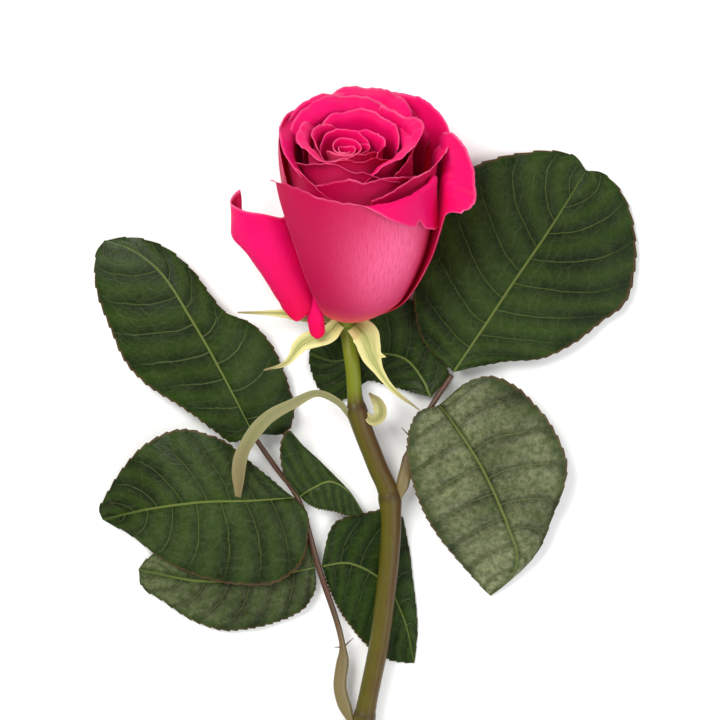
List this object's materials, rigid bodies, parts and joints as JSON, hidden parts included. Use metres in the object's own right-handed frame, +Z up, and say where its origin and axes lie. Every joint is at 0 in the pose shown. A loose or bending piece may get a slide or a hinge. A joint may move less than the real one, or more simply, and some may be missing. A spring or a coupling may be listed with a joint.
{
  "type": "cut rose",
  "caption": "Cut rose lying on its side: half-open layered bloom on a bent green neck, sepals and drooping bracts, compound leaves and a bare stem with a plain cut end.",
  "frame": {"origin": "middle of the footprint, on the surface that the rose lies on", "axes": "+Z up from the surface; +Y along the stem from the cut end towards the flower; +X to the flower's right, seen from above"},
  "size_m": [0.1578, 0.3, 0.0568],
  "materials": {
    "petal": "matt velvety deep pink petals, paler outside and crimson inside",
    "leaf": "dark green leaf with a waxy gloss and sunken veins",
    "sepal": "pale yellow-green, matt, slightly downy",
    "stem": "smooth olive-brown bark, yellow-green at the neck",
    "stalk": "smooth dark red-brown leaf stalk, greener at its foot"
  },
  "bodies": {
    "root": {"petal_loose_large": "petal", "petal_loose_small": "petal", "petal_guard_right": "petal", "petal_guard_back": "petal", "petal_front": "petal", "petal_guard_left": "petal", "petal_back_right": "petal", "petal_back_left": "petal", "petal_side_right": "petal", "petal_side_left": "petal", "petal_crown_back": "petal", "petal_crown_front": "petal", "petal_crown_left": "petal", "petal_crown_right": "petal", "petal_inner_front": "petal", "petal_inner_back": "petal", "petal_inner_right": "petal", "petal_inner_left": "petal", "petal_heart_back": "petal", "petal_heart_front": "petal", "petal_heart_left": "petal", "petal_heart_right": "petal", "petal_core_front": "petal", "petal_core_back": "petal", "petal_core_right": "petal", "petal_core_bud": "petal", "sepal_front_right": "sepal", "sepal_left": "sepal", "sepal_back_left": "sepal", "sepal_back": "sepal", "sepal_back_right": "sepal", "bract_long": "sepal", "bract_curled": "sepal", "leaf_stalk_left": "stalk", "leaf_stalk_right": "stalk", "leaflet_left_end": "leaf", "leaflet_left_upper": "leaf", "leaflet_left_lower": "leaf", "leaflet_inner_upper": "leaf", "leaflet_inner_lower": "leaf", "leaflet_right_end": "leaf", "leaflet_right_front": "leaf", "leaflet_under_flower": "leaf", "stem": "stem"}
  },
  "joints": []
}
